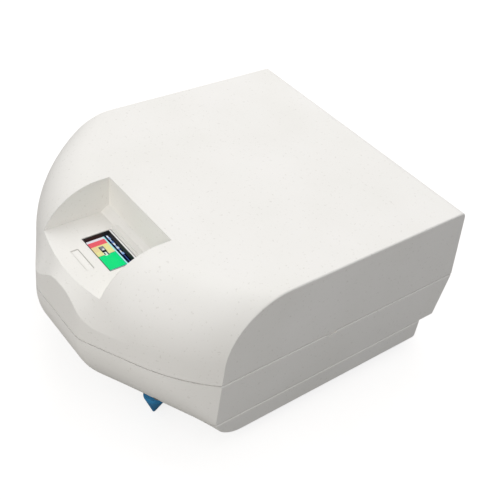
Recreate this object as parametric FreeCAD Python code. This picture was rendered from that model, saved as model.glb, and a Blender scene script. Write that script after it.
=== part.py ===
import FreeCAD, Part
import math
import os

# Fingerprint scanner terminal. Millimetres, +Z up, +Y to the rear, X across.
# The origin is on the table, under the middle of the housing.

V = FreeCAD.Vector

# --- housing ---
case_width = 150.0
top_z = 84.75          # level top face
parting_z = 43.0       # seam between the upper and lower shell
split_z = 17.0         # seam between the lower shell and the base tray
bottom_z = 5.25        # flat underside, carried on the feet
wall = 2.5
seam = 0.5             # open gap at the upper seam
split_gap = 0.4        # open gap at the lower seam
edge_bevel = 0.45      # broken edge round both side faces

bow_front = -88.5      # foremost point of the bowed front, above the chin
bow_radius = 93.8      # the bow in plan
bow_shift = 1.8        # the bow's middle, to the right of the recess's
dome_radius = 30.0     # the front rolls into the top with this radius
chin_front = bow_front - 2.4   # flat face of the chin
chin_flat = 38.0       # its width
chin_soften = 12.0     # radius at the two ends of the flat
crease_drop = 1.85     # top of the chin's upright face below the foot of the dome
tongue_half = 24.6     # half the width of the rise in the chin's middle
tongue_shift = 4.2     # the rise's middle, to the right of the bow's
tongue_power = 2.7     # how square-shouldered the rise is
tongue_fade = 3.0      # how softly it runs out
undercut_front = 36.3  # radius under the front
undercut_side = 15.6   # the same at the front corners
undercut_power = 6.6   # how late the one turns into the other

back_wide = 90.5       # rear face at the upper seam
back_top = back_wide - 6.5     # at the top
back_low = back_wide - 4.5     # at the lower shell's foot
back_round = 3.5
tray_back = back_wide - 13.9   # the base is set back under the rear
tray_round = 2.0

# --- finger recess ---
recess_width = 50.6
recess_floor = top_z - 18.35
recess_back = bow_front + 39.3
recess_wall = 2.2
toe_depth = 4.1        # slope at the foot of the rear wall
toe_height = 3.0
lip_height = 1.0       # low step behind the screen
lip_depth = 3.4
tongue_top = recess_floor - 3.8   # the chin rises to here below the recess
flare_above = 0.6      # the flare over the chin ends this far above the recess floor

# --- screen ---
window_width = 24.8
window_depth = 15.0
window_rear = 6.4      # floor behind the window
window_gap = 0.2
window_rear_gap = 0.35
gasket_wall = 0.35
gasket_rear = 1.1
gasket_sunk = 0.25
trim_depth = 0.75
trim_height = 1.1
flange_reach = 1.8     # the gasket's flange under the floor
lens_thick = 1.0
panel_thick = 1.6
can_thick = 0.7
can_floor = 1.0
can_play = 0.1
pad_thick = 0.9
pad_margin = 2.5
display_drop = 0.4     # underside of the recess floor to the lens

# --- finger key ---
key_width = 14.4       # slot in the floor
key_depth = 3.7
key_ahead = 6.45       # from the window to the middle of the slot
key_play = 0.2
key_sunk = 0.3
key_skin = 0.6         # plastic over the sensor
key_travel = 0.4
flange_width = 17.0
flange_depth = 6.0
flange_thick = 1.2
stop_gap = 0.05
sensor_width = 12.0
sensor_depth = 2.6
sensor_play = 0.1
flex_thick = 0.2
flex_width = 2.4
flex_play = 0.4        # round a flex in its socket's slot
flex_seat = 0.3        # the slot's floor above the board
sensor_slot_play = 0.6
sensor_socket_size = (1.8, 4.0, 2.0)
screen_socket_size = (12.0, 1.8, 1.6)
screen_flex_width = 10.0
screen_flex_reach = 1.4        # from the can to where it turns down
screen_flex_sunk = 0.25        # its middle below the panel's top
screen_flex_bend = 0.8

# --- click switch ---
switch_size = 6.0
switch_height = 2.6
plunger_diameter = 3.5
plunger_play = 0.05
plunger_sunk = 1.0     # part of the plunger inside the switch
dome_skin = 0.1
dome_height = key_travel + dome_skin

# --- front board ---
board_thick = 1.6
front_board_width = 52.0
front_board_front = bow_front + 7.6
front_board_back = recess_back + 1.7
front_screw_x = front_board_width / 2 - 3.5
front_screw_inset = 2.4
front_post = 5.0
small_screw = 2.0      # thread diameters
board_screw = 3.0
case_screw = 3.0
hole_play = 0.4        # clearance hole over thread
small_head = (3.8, 1.4)        # diameter and height of a screw head
board_head = (5.4, 1.9)
board_screw_length = 8.0
pilot_play = 0.1       # pilot hole over thread core
core_share = 0.8       # thread core over thread diameter

# --- base and main board ---
main_board_width = case_width - 2 * (wall + 14.5)
main_board_front = chin_front + 77.5
main_board_back = back_wide - 8.0
main_board_z = bottom_z + 15.75
main_post = 7.0
main_screw_x = main_board_width / 2 - 6.0
main_screw_front = main_board_front + 6.0
main_screw_back = main_board_back - 16.5

# --- case screws ---
front_boss_reach = 47.7        # from the bow's middle
front_boss_y = bow_front + 21.6
rear_boss_x = case_width / 2 - 9.5
rear_boss_y = back_wide - 30.5
boss = 8.0
rear_tube = 10.0
boss_height = 17.0
rib = 2.4
insert_diameter = 4.4
insert_length = 6.0
pocket = 5.2           # screw pocket in the undercut, seen from the front
pocket_top = split_z + 4.4
head_play = 0.4        # round a screw head in its pocket or counterbore
case_head_height = 2.2
pocket_flare = 0.3     # the base clears the pocket by this on the diameter
counterbore = 6.4
counterbore_top = bottom_z + 24.75
screw_hole = 3.4
bite = 9.0             # how far a case screw enters the upper shell

# --- feet ---
foot_front_reach = 40.3        # from the bow's middle
foot_rear_x = case_width / 2 - 32.9
foot_front_y = bow_front + 25.6
foot_rear_y = back_wide - 40.5
foot_diameter = 11.0
foot_tip = 1.4
foot_cone = 10.9
foot_seat = split_z - 3.8
foot_play = 0.2
foot_stem = 4.0
foot_bulb = 5.0
stem_play = 0.05
bulb_play = 0.25
pad_wall = 1.5

# --- sockets on the rear edge ---
socket_inset = 0.37    # the sockets' faces behind the wall's lower edge
socket_play = 0.3
network_x = -25.0
network_size = (16.0, 21.3, 13.5)
network_mouth = (12.0, 15.0, 8.2)
network_sill = 2.2
usb_x = 0.0
usb_size = (12.0, 16.5, 10.8)
usb_mouth = (8.6, 9.5, 7.9)
usb_tongue = (5.6, 8.5, 3.2)
inlet_x = 25.0
inlet_size = (9.0, 14.0, 11.0)
inlet_bore = 6.4
inlet_depth = 9.5
inlet_axis = 6.4
inlet_pin = 2.0

# --- battery ---
battery_socket_x = main_board_width / 2 - 16.0
lead_run = 8.0         # from the pack's end to the middle of its socket
battery_length = 2 * (battery_socket_x - lead_run)
battery_width = 37.4
battery_height = 19.0
battery_y = chin_front + 55.5
battery_play = 0.4
strap_width = 12.0
strap_thick = 1.0
strap_foot = 7.0
strap_seat = 4.3

# --- other pieces on the main board ---
chip_size = 14.0
chip_height = 1.4
chip_y = main_board_back - 57.5
memory_size = (10.0, 12.0, 1.1)
memory_x = -19.0
capacitor_diameter = 8.0
capacitor_height = 11.5
capacitor_pitch = 10.0
capacitor_y = main_board_back - 29.5
buzzer_diameter = 12.0
buzzer_height = 9.5
buzzer_inset = 20.0    # from the board's left edge
buzzer_spot = (buzzer_inset - main_board_width / 2, main_board_back - 62.5)
cell_diameter = 20.0
cell_thick = 3.2
holder_wall = 1.4
holder_floor = 1.2
cell_spot = (main_board_width / 2 - 22.0, main_board_back - 60.5)

# --- wiring ---
header_size = (16.0, 5.0, 4.5)
header_y = main_board_front + 6.0
header_wall = 1.5
ribbon_width = 12.0
ribbon_thick = 0.8
ribbon_bend = 5.0
wire_diameter = 1.6
wire_pitch = 2.2
wire_bend = 3.0
wire_play = 0.2        # round a wire or a ribbon in its socket
battery_socket_size = (7.0, 5.0, header_size[2])
lead_inset = 8.0       # the wires leave the pack's end this far in from its rear side
lead_rise = 6.0        # how high they arch over their socket
ribbon_low = 8.0       # where the ribbon turns, above its header
ribbon_high = 9.0      # and how far it slants up from there
ribbon_socket_wall = 1.5
ribbon_socket_side = 1.0
ribbon_socket_high = 3.0
ribbon_reach = 2.0     # into the socket under the front board
ribbon_inset = 4.0     # that socket's middle from the board's rear edge

# --- small cover details ---
pry_length = 6.0
pry_depth = 0.8
pry_height = 1.2
pry_y = back_wide - 81.5
tab_length = 10.0
tab_rows = [back_wide - 110.5 + 30.0 * row for row in range(3)]
tab_thick = 1.2
tab_play = 0.15
tab_rise = 2.0
tab_root = 3.5
rest_thick = 1.0

half_width = case_width / 2
bow_centre = bow_front + bow_radius
dome_start = top_z - dome_radius
floor_under = recess_floor - recess_wall
window_back = recess_back - window_rear
window_front = window_back - window_depth
key_y = window_front - key_ahead
lens_top = floor_under - display_drop
panel_top = lens_top - lens_thick
can_base = panel_top - panel_thick - can_floor
front_board_top = can_base - pad_thick
front_board_under = front_board_top - board_thick
flange_top = floor_under - stop_gap
flange_under = flange_top - flange_thick
flex_under = flange_under - flex_thick
main_board_top = main_board_z + board_thick
tray_floor = bottom_z + wall
lower_top = parting_z - seam / 2
upper_foot = parting_z + seam / 2
boss_foot = lower_top
lip_out = wall * 0.55     # the lower shell's lip stands inside the upper shell's wall
lip_rise = 2.0
lip_play = 0.12
loft_steps = 36        # outlines across the width, evenly spaced: the skin then follows them to
                       # 0.05 mm, but it ripples with uneven spacing and with 32 or 44 steps


# ---------- helpers ----------

def box(x0, x1, y0, y1, z0, z1):
    return Part.makeBox(x1 - x0, y1 - y0, z1 - z0, V(x0, y0, z0))


def block(x, y, z, size):
    """A box standing on z, centred on x and y."""
    wide, deep, high = size
    return box(x - wide / 2, x + wide / 2, y - deep / 2, y + deep / 2, z, z + high)


def rod(x, y, z0, z1, diameter):
    return Part.makeCylinder(diameter / 2, z1 - z0, V(x, y, z0))


def mirrored(shape):
    return shape.mirror(V(0, 0, 0), V(1, 0, 0))


def pair(shape):
    return [shape, mirrored(shape)]


def section(x, start, *steps):
    """Closed outline in the plane at x; a step is (y, z) or (mid y, mid z, end y, end z)."""
    edges = []
    here = V(x, *start)
    for step in steps:
        end = V(x, *step[-2:])
        if len(step) == 2:
            edges.append(Part.makeLine(here, end))
        else:
            edges.append(Part.Arc(here, V(x, *step[:2]), end).toShape())
        here = end
    return Part.Wire(edges)


def ladder(reach):
    """Places along X from -reach to +reach, evenly spaced."""
    return [reach * (2 * step / loft_steps - 1) for step in range(loft_steps + 1)]


def loft_across(outline, reach):
    """Solid through the outlines at every place from -reach to +reach."""
    return Part.makeLoft([outline(x) for x in ladder(reach)], True, False)


def bevelled(outline):
    """The same solid with a broken edge round both side faces."""
    core = loft_across(outline, half_width - edge_bevel)
    caps = []
    for side in (-1, 1):
        rim = outline(side * (half_width - edge_bevel))
        face = rim.makeOffset2D(-edge_bevel)
        face.translate(V(side * edge_bevel, 0, 0))
        caps.append(Part.makeLoft([rim, face], True, True))
    return core.multiFuse(caps).removeSplitter()


def rounded_path(points, radius):
    """Straight runs joined by tangent arcs."""
    edges = []
    here = V(*points[0])
    for before, corner, after in zip(points, points[1:], points[2:]):
        corner = V(*corner)
        back = (V(*before) - corner).normalize()
        ahead = (V(*after) - corner).normalize()
        half_turn = back.getAngle(ahead) / 2
        reach = radius / math.tan(half_turn)
        start, end = corner + back * reach, corner + ahead * reach
        inward = (back + ahead).normalize()
        middle = corner + inward * (radius / math.sin(half_turn) - radius)
        edges.append(Part.makeLine(here, start))
        edges.append(Part.Arc(start, middle, end).toShape())
        here = end
    edges.append(Part.makeLine(here, V(*points[-1])))
    return Part.Wire(edges)


def swept_strip(points, radius, wide, thick):
    """Flat strip along a path in the plane x = constant that starts vertical."""
    x, y, z = points[0]
    corners = [V(x - wide / 2, y - thick / 2, z), V(x + wide / 2, y - thick / 2, z),
               V(x + wide / 2, y + thick / 2, z), V(x - wide / 2, y + thick / 2, z)]
    profile = Part.makePolygon(corners + corners[:1])
    return rounded_path(points, radius).makePipeShell([profile], True, True)


def screw(x, y, seat, length, thread, head_diameter, head_height):
    """Pan-head screw pointing up: its head hangs under seat."""
    head = rod(x, y, seat - head_height, seat, head_diameter)
    rim = [e for e in head.Edges if e.CenterOfMass.z < seat - head_height + 1e-6]
    head = head.makeFillet(head_height * 0.35, rim)
    shank = rod(x, y, seat, seat + length, thread * core_share)
    slot = box(x - head_diameter * 0.35, x + head_diameter * 0.35, y - 0.3, y + 0.3,
               seat - head_height, seat - head_height * 0.6)
    return head.fuse(shank).cut(slot).removeSplitter()


def screw_down(x, y, seat, length, thread, head_diameter, head_height):
    up = screw(x, y, seat, length, thread, head_diameter, head_height)
    return up.mirror(V(x, y, seat), V(0, 0, 1))


# ---------- shape of the housing ----------

def bow_y(x):
    return bow_centre - math.sqrt(bow_radius ** 2 - (x - bow_shift) ** 2)


def lean(x):
    """How much longer a wall is along Y than across, where the bow slants."""
    return bow_radius / math.sqrt(bow_radius ** 2 - (x - bow_shift) ** 2)


def chin_y(x):
    """Front of the chin: a flat, a soft corner, a straight flank that runs out on the bow."""
    across = abs(x - bow_shift)
    corner = chin_flat / 2
    far = math.hypot(corner, bow_centre - chin_front)
    turn = math.atan2(corner, bow_centre - chin_front) + math.acos(bow_radius / far)
    soft_start = corner - chin_soften * math.tan(turn / 2)
    if across <= soft_start:
        return chin_front
    if across < soft_start + chin_soften * math.sin(turn):
        return chin_front + chin_soften - math.sqrt(chin_soften ** 2 - (across - soft_start) ** 2)
    if across < bow_radius * math.sin(turn):
        return chin_front + (across - corner) * math.tan(turn)
    return bow_y(x)


def crease_z(x):
    """Top of the chin's upright face: it rises in a tongue below the recess."""
    level = dome_start - crease_drop
    across = abs(x - bow_shift - tongue_shift)
    share = max(0.0, 1 - (across / tongue_half) ** tongue_power) ** tongue_fade
    return level + (tongue_top - level) * share


def undercut(x):
    share = min(1.0, abs(x) / half_width) ** undercut_power
    return undercut_front + (undercut_side - undercut_front) * share


def back_y(z):
    """Rear face: it leans out down to the seam and in again below it."""
    if z > parting_z:
        return back_wide + (back_top - back_wide) * (z - parting_z) / (top_z - parting_z)
    return back_wide + (back_low - back_wide) * (parting_z - z) / (parting_z - split_z)


def flare_angle(x):
    """Where the straight flare above the chin meets the dome, as an angle up the dome."""
    ahead, above = bow_y(x) + dome_radius - chin_y(x), crease_z(x) - dome_start
    tangent = math.atan2(above, ahead) + math.acos(min(1.0, dome_radius / math.hypot(ahead, above)))
    return min(tangent, math.asin((recess_floor + flare_above - dome_start) / dome_radius))


def upper_outline(x):
    front, crease = chin_y(x), crease_z(x)
    centre_y, centre_z = bow_y(x) + dome_radius, dome_start
    start = math.pi - flare_angle(x)
    shoulder = (centre_y + dome_radius * math.cos(start), centre_z + dome_radius * math.sin(start))
    mid = (start + math.pi / 2) / 2
    dome_mid = (centre_y + dome_radius * math.cos(mid), centre_z + dome_radius * math.sin(mid))
    tilt = math.atan2(back_wide - back_top, top_z - parting_z)
    run = back_round * math.tan((math.pi / 2 - tilt) / 2)
    hub = (back_top - run, top_z - back_round)
    spoke = back_round / math.hypot(run, back_round)
    corner_mid = (hub[0] + run * spoke, hub[1] + back_round * spoke)
    corner_end = (back_top + run * math.sin(tilt), top_z - run * math.cos(tilt))
    return section(x, (front, upper_foot), (front, crease), shoulder,
                   dome_mid + (centre_y, top_z), (hub[0], top_z), corner_mid + corner_end,
                   (back_y(upper_foot), upper_foot), (front, upper_foot))


def upper_cavity_outline(x):
    inset = wall * lean(x)
    radius = dome_radius - inset
    centre_y, centre_z = bow_y(x) + dome_radius, top_z - wall - radius
    bend = math.sqrt(0.5) * radius
    low = parting_z - wall
    return section(x, (centre_y - radius, low), (centre_y - radius, centre_z),
                   (centre_y - bend, centre_z + bend, centre_y, top_z - wall),
                   (back_top - wall, top_z - wall), (back_wide - wall, parting_z),
                   (back_wide - wall, low), (centre_y - radius, low))


def rolled_front(x, inset, floor_z, z):
    """Centre, radius and the point at height z of the undercut roll."""
    radius = undercut(x) - inset
    centre_y, centre_z = chin_y(x) + undercut(x), floor_z + radius
    drop = centre_z - z
    return radius, centre_y, centre_z, centre_y - math.sqrt(radius ** 2 - drop ** 2)


def roll_mid(radius, centre_y, centre_z, z0, z1):
    """Middle point of the roll between two heights."""
    a = (math.asin((centre_z - z0) / radius) + math.asin(min(1.0, (centre_z - z1) / radius))) / 2
    return centre_y - radius * math.cos(a), centre_z - radius * math.sin(a)


def socket_face():
    return back_y(main_board_top) - socket_inset


def lower_outline(x):
    foot = split_z + split_gap / 2
    radius, centre_y, centre_z, toe = rolled_front(x, 0, bottom_z, foot)
    front = chin_y(x)
    return section(x, (front, lower_top), (front, centre_z),
                   roll_mid(radius, centre_y, centre_z, centre_z, foot) + (toe, foot),
                   (back_y(foot), foot), (back_y(lower_top), lower_top), (front, lower_top))


def lower_cavity_outline(x):
    low = split_z - 1
    high = parting_z + wall
    radius, centre_y, centre_z, toe = rolled_front(x, wall * lean(x), tray_floor, low)
    front = centre_y - radius
    return section(x, (front, high), (front, centre_z),
                   roll_mid(radius, centre_y, centre_z, centre_z, low) + (toe, low),
                   (back_y(low) - wall, low), (back_wide - wall, parting_z),
                   (back_wide - wall, high), (front, high))


def tray_outline(x):
    rim = split_z - split_gap / 2
    radius, centre_y, centre_z, brow = rolled_front(x, 0, bottom_z, rim)
    bend = tray_round * (1 - math.sqrt(0.5))
    return section(x, (brow, rim),
                   roll_mid(radius, centre_y, centre_z, rim, bottom_z) + (centre_y, bottom_z),
                   (tray_back - tray_round, bottom_z),
                   (tray_back - bend, bottom_z + bend, tray_back, bottom_z + tray_round),
                   (tray_back, rim), (brow, rim))


def tray_cavity_outline(x):
    high = split_z + 1
    radius, centre_y, centre_z, brow = rolled_front(x, wall * lean(x), tray_floor, high)
    return section(x, (brow, high),
                   roll_mid(radius, centre_y, centre_z, high, tray_floor) + (centre_y, tray_floor),
                   (tray_back - wall, tray_floor), (tray_back - wall, high), (brow, high))


def parting_face(inset):
    """The housing's outline at the upper seam, drawn in by inset."""
    reach = half_width - inset
    front = Part.BSplineCurve()
    front.interpolate([V(x, chin_y(x) + inset * lean(x), 0) for x in ladder(reach)])
    rear = back_wide - inset
    left, right = front.StartPoint, front.EndPoint
    sides = Part.makePolygon([right, V(reach, rear, 0), V(-reach, rear, 0), left])
    return Part.Face(Part.Wire([front.toShape()] + sides.Edges))


def seam_ring(outer_inset, inner_inset, z0, z1):
    ring = parting_face(outer_inset).cut(parting_face(inner_inset))
    ring.translate(V(0, 0, z0))
    return ring.extrude(V(0, 0, z1 - z0))


# ---------- upper shell ----------

def recess_cut():
    high = top_z + 1
    front = chin_front - 5
    profile = Part.makePolygon([
        V(0, recess_back, high), V(0, recess_back, recess_floor + toe_height),
        V(0, recess_back - toe_depth, recess_floor), V(0, front, recess_floor),
        V(0, front, high), V(0, recess_back, high)])
    cut = Part.Face(profile).extrude(V(recess_width, 0, 0))
    cut.translate(V(-recess_width / 2, 0, 0))
    return cut


def board_post_spots():
    rows = (front_board_front + front_screw_inset, front_board_back - front_screw_inset)
    return [(x, y) for x in (-front_screw_x, front_screw_x) for y in rows]


def front_boss_spots():
    return [(bow_shift + side * front_boss_reach, front_boss_y) for side in (-1, 1)]


def rear_boss_spots():
    return [(side * rear_boss_x, rear_boss_y) for side in (-1, 1)]


def rib_front():
    """Front end of the ribs that tie the front bosses to the wall."""
    return chin_y(bow_shift + front_boss_reach + rib / 2) + wall * 0.75


def upper_bosses():
    high = boss_foot + boss_height
    rear = rod(rear_boss_x, rear_boss_y, boss_foot, high, rear_tube)
    rear_rib = box(rear_boss_x, half_width - wall * 0.75, rear_boss_y - rib / 2, rear_boss_y + rib / 2,
                   boss_foot, high)
    bosses = pair(rear.fuse(rear_rib))
    for x, y in front_boss_spots():
        bosses.append(rod(x, y, boss_foot, high, boss))
        bosses.append(box(x - rib / 2, x + rib / 2, rib_front(), y, boss_foot, high))
    return bosses


def upper_shell():
    outer = bevelled(upper_outline)
    cavity = loft_across(upper_cavity_outline, half_width - wall)
    chin_hollow = parting_face(wall).extrude(V(0, 0, dome_start - 6 - parting_z + wall))
    chin_hollow.translate(V(0, 0, parting_z - wall))
    tub = box(-recess_width / 2 - recess_wall, recess_width / 2 + recess_wall,
              chin_front - 5, recess_back + recess_wall, floor_under, top_z + 1)
    lip = box(-window_width / 2, window_width / 2, window_back + 1, window_back + 1 + lip_depth,
              recess_floor - recess_wall / 2, recess_floor + lip_height)
    posts = [rod(x, y, front_board_top, floor_under + 0.5, front_post) for x, y in board_post_spots()]
    hollow = cavity.fuse(chin_hollow)
    for solid in [tub] + posts:
        hollow = hollow.cut(solid)
    shell = outer.cut(hollow).cut(recess_cut())
    shell = shell.multiFuse([lip] + upper_bosses())
    shell = shell.cut(box(-window_width / 2, window_width / 2, window_front, window_back,
                          floor_under - 1, recess_floor + 1))
    shell = shell.cut(block(0, key_y, floor_under - 1, (key_width, key_depth, recess_wall + 2)))
    for x, y in board_post_spots():
        shell = shell.cut(rod(x, y, front_board_top - 1, floor_under - 0.5,
                              small_screw * core_share + pilot_play))
    for x, y in front_boss_spots() + rear_boss_spots():
        shell = shell.cut(rod(x, y, boss_foot - 1, boss_foot + insert_length, insert_diameter))
        shell = shell.cut(rod(x, y, boss_foot, boss_foot + bite + 2, case_screw))
    rebate = seam_ring(lip_out - lip_play, wall + lip_play, lower_top - 1,
                       lower_top + lip_rise + lip_play)
    return shell.cut(rebate).removeSplitter()


# ---------- lower shell and base ----------

def socket_windows():
    """Openings in the rear wall, each a little larger than its socket."""
    cuts = []
    for x, size in ((network_x, network_size), (usb_x, usb_size), (inlet_x, inlet_size)):
        wide, deep, high = size
        cuts.append(box(x - wide / 2 - socket_play, x + wide / 2 + socket_play,
                        socket_face() - deep / 2, max(back_wide, back_low) + 1,
                        main_board_top - socket_play, main_board_top + high + socket_play))
    return cuts


def lower_shell():
    outer = bevelled(lower_outline)
    plate = parting_face(lip_out).extrude(V(0, 0, lip_rise + 0.5))
    plate.translate(V(0, 0, lower_top - 0.5))
    overhang = box(-half_width, half_width, tray_back - wall, back_wide,
                   split_z - 2, split_z + split_gap / 2 + wall)
    hollow = loft_across(lower_cavity_outline, half_width - wall).cut(overhang)
    for x, y in front_boss_spots():
        hollow = hollow.cut(rod(x, y, split_z - 2, lower_top, boss))
        hollow = hollow.cut(box(x - rib / 2, x + rib / 2, chin_front, y, split_z - 2, lower_top))
    shell = outer.fuse(plate).cut(hollow)
    for x, y in front_boss_spots():
        shell = shell.cut(rod(x, y, split_z - 2, pocket_top, pocket))
        shell = shell.cut(rod(x, y, pocket_top - 1, lower_top + 1, screw_hole))
    pry = box(half_width - pry_depth, half_width + 1, pry_y - pry_length / 2,
              pry_y + pry_length / 2, lower_top - pry_height, lower_top + 1)
    for cut in pair(pry) + socket_windows():
        shell = shell.cut(cut)
    return shell.removeSplitter()


def foot_spots():
    return {"foot_front_left": (bow_shift - foot_front_reach, foot_front_y),
            "foot_front_right": (bow_shift + foot_front_reach, foot_front_y),
            "foot_rear_left": (-foot_rear_x, foot_rear_y),
            "foot_rear_right": (foot_rear_x, foot_rear_y)}


def main_screw_spots():
    return [(side * main_screw_x, y) for side in (-1, 1) for y in (main_screw_front, main_screw_back)]


def strap_spots():
    reach = battery_length / 2 + battery_play + holder_wall + strap_thick + strap_foot / 2
    return [(-reach, battery_y), (reach, battery_y)]


def side_tabs():
    """Tongues that locate the base inside the lower shell, and the rests beside them."""
    x = half_width - wall
    extras = []
    for y in tab_rows:
        root = box(x - tab_thick, x + 0.5, y, y + tab_length, split_z - tab_root,
                   split_z - split_gap / 2)
        tab = box(x - tab_thick, x - tab_play, y, y + tab_length, split_z - split_gap,
                  split_z + tab_rise)
        rest = box(x + 0.2, x + 0.2 + rest_thick, y, y + tab_length, split_z - 1,
                   split_z + split_gap / 2)
        extras += pair(root) + pair(tab) + pair(rest)
    return extras


def base_tray():
    outer = bevelled(tray_outline)
    hollow = loft_across(tray_cavity_outline, half_width - wall)
    for x, y in foot_spots().values():
        hollow = hollow.cut(rod(x, y, bottom_z, foot_seat + wall,
                                foot_diameter + 2 * (foot_play + pad_wall)))
    shell = outer.cut(hollow)
    inner = tray_floor - 0.5
    end = battery_length / 2 + battery_play
    battery_rib = box(end, end + holder_wall, battery_y - battery_width * 0.2,
                      battery_y + battery_width * 0.2, inner, tray_floor + battery_height / 2)
    extras = side_tabs() + pair(battery_rib)
    extras += pair(rod(rear_boss_x, rear_boss_y, inner, lower_top, rear_tube))
    extras += [rod(x, y, inner, main_board_z, main_post) for x, y in main_screw_spots()]
    extras += [rod(x, y, inner, tray_floor + strap_seat, strap_foot) for x, y in strap_spots()]
    shell = shell.multiFuse(extras)
    for x, y in foot_spots().values():
        shell = shell.cut(rod(x, y, bottom_z - 1, foot_seat, foot_diameter + 2 * foot_play))
        shell = shell.cut(rod(x, y, foot_seat - 1, split_z + 1, foot_stem + 2 * stem_play))
        shell = shell.cut(rod(x, y, foot_seat + wall, split_z + 1, foot_bulb + 2 * bulb_play))
    pilot = board_screw * core_share + pilot_play
    for x, y in main_screw_spots():
        shell = shell.cut(rod(x, y, main_board_z - board_screw_length, main_board_z + 1, pilot))
    for x, y in strap_spots():
        shell = shell.cut(rod(x, y, tray_floor, tray_floor + strap_seat + 1, pilot))
    for x, y in rear_boss_spots():
        shell = shell.cut(rod(x, y, bottom_z - 1, counterbore_top, counterbore))
        shell = shell.cut(rod(x, y, counterbore_top - 1, lower_top + 1, screw_hole))
    for x, y in front_boss_spots():
        shell = shell.cut(rod(x, y, bottom_z - 1, split_z + 1, pocket + pocket_flare))
    return shell.removeSplitter()


# ---------- screen ----------

def window_gasket():
    left = window_width / 2 - window_gap
    rear = window_back - window_rear_gap
    front = window_front + window_gap
    top = recess_floor - gasket_sunk
    tube = box(-left, left, front, rear, lens_top, top)
    skirt = box(-left - flange_reach, left + flange_reach, front - flange_reach, rear + flange_reach,
                lens_top, floor_under)
    inside = box(-left + gasket_wall, left - gasket_wall, front + gasket_wall, rear - gasket_rear,
                 lens_top - 1, top + 1)
    seat = box(-left - 1, left + 1, rear - trim_depth, rear + 1, top - trim_height + 0.1, top + 1)
    return tube.cut(seat).fuse(skirt).cut(inside).removeSplitter()


def window_trim():
    left = window_width / 2 - window_gap
    rear = window_back - window_rear_gap
    base = recess_floor - gasket_sunk - trim_height + 0.1
    bar = box(-left, left, rear - trim_depth, rear, base, base + trim_height)
    edges = [e for e in bar.Edges if abs(e.CenterOfMass.z - base - trim_height) < 1e-6]
    return bar.makeChamfer(0.12, edges)


def lens_box(z0, z1, margin):
    wide = window_width / 2 + flange_reach - window_gap + margin
    front = window_front + window_gap - flange_reach - margin
    rear = window_back - window_rear_gap + flange_reach + margin
    return box(-wide, wide, front, rear, z0, z1)


def display_lens():
    return lens_box(panel_top, lens_top, 0)


def display_panel():
    return lens_box(panel_top - panel_thick, panel_top, 0)


def display_can():
    outer = lens_box(can_base, panel_top - 0.6, can_play + can_thick)
    return outer.cut(lens_box(can_base + can_floor, panel_top + 1, can_play))


def display_pad():
    return lens_box(front_board_top, can_base, -pad_margin)


def screen_flex_drop():
    """Where the screen's flex turns down, behind the can."""
    return window_back - window_rear_gap + flange_reach + can_play + can_thick + screen_flex_reach


def display_flex():
    """From the panel's rear edge over the can and down into its socket."""
    wide = screen_flex_width
    top = panel_top - screen_flex_sunk
    rear = window_back - window_rear_gap + flange_reach
    drop = screen_flex_drop()
    points = [(0, rear, top), (0, drop, top), (0, drop, front_board_top + 2 * flex_seat)]
    corners = [V(-wide / 2, rear, top - flex_thick / 2), V(wide / 2, rear, top - flex_thick / 2),
               V(wide / 2, rear, top + flex_thick / 2), V(-wide / 2, rear, top + flex_thick / 2)]
    profile = Part.makePolygon(corners + corners[:1])
    return rounded_path(points, screen_flex_bend).makePipeShell([profile], True, True)


# ---------- finger key ----------

def finger_key():
    wide, deep = key_width - 2 * key_play, key_depth - 2 * key_play
    top = recess_floor - key_sunk
    face = block(0, key_y, flange_top - 0.1, (wide, deep, top - flange_top + 0.1))
    rim = [e for e in face.Edges if abs(e.CenterOfMass.z - top) < 1e-6]
    face = face.makeFillet(0.15, rim)
    flange = block(0, key_y, flange_under, (flange_width, flange_depth, flange_thick))
    pocket_size = (sensor_width + 2 * sensor_play, sensor_depth + 2 * sensor_play,
                   top - key_skin - flange_under + 1)
    return face.fuse(flange).cut(block(0, key_y, flange_under - 1, pocket_size)).removeSplitter()


def sensor_module():
    top = recess_floor - key_sunk - key_skin
    return block(0, key_y, flange_under, (sensor_width, sensor_depth, top - flange_under))


def sensor_socket_x():
    return flange_width / 2 + 5.0


def sensor_flex():
    """Lies under the sensor, then drops into its socket beside the switch."""
    middle = flex_under + flex_thick / 2
    x = sensor_socket_x()
    points = [(-sensor_width / 2, key_y, middle), (x, key_y, middle), (x, key_y, front_board_top + 1.0)]
    start = points[0]
    half, low, high = flex_width / 2, middle - flex_thick / 2, middle + flex_thick / 2
    corners = [V(start[0], key_y + dy, z) for dy, z in
               ((-half, low), (half, low), (half, high), (-half, high))]
    profile = Part.makePolygon(corners + corners[:1])
    return rounded_path(points, 1.0).makePipeShell([profile], True, True)


def switch_well():
    """Floor of the hole that the plunger moves in."""
    return front_board_top + switch_height - plunger_sunk - dome_height


def key_switch():
    body = block(0, key_y, front_board_top, (switch_size, switch_size, switch_height))
    well = rod(0, key_y, switch_well(), front_board_top + switch_height + 1,
               plunger_diameter + 2 * plunger_play)
    return body.cut(well)


def switch_plunger():
    return rod(0, key_y, switch_well() + dome_height, flex_under, plunger_diameter)


def switch_dome():
    """Snap dome between the plunger and the floor of the well."""
    radius = plunger_diameter / 2 - 0.05
    ball = (radius ** 2 + dome_height ** 2) / (2 * dome_height)
    centre = V(0, key_y, switch_well() + dome_height - ball)
    skin = Part.makeSphere(ball, centre).cut(Part.makeSphere(ball - dome_skin, centre))
    keep = rod(0, key_y, switch_well(), switch_well() + dome_height + 1, 2 * radius)
    return skin.common(keep)


# ---------- front board ----------

def front_board():
    wide = front_board_width / 2
    board = box(-wide, wide, front_board_front, front_board_back, front_board_under, front_board_top)
    for x, y in board_post_spots():
        board = board.cut(rod(x, y, front_board_under - 1, front_board_top + 1, small_screw + hole_play))
    return board


def ribbon_top():
    return front_board_back - ribbon_inset


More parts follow.
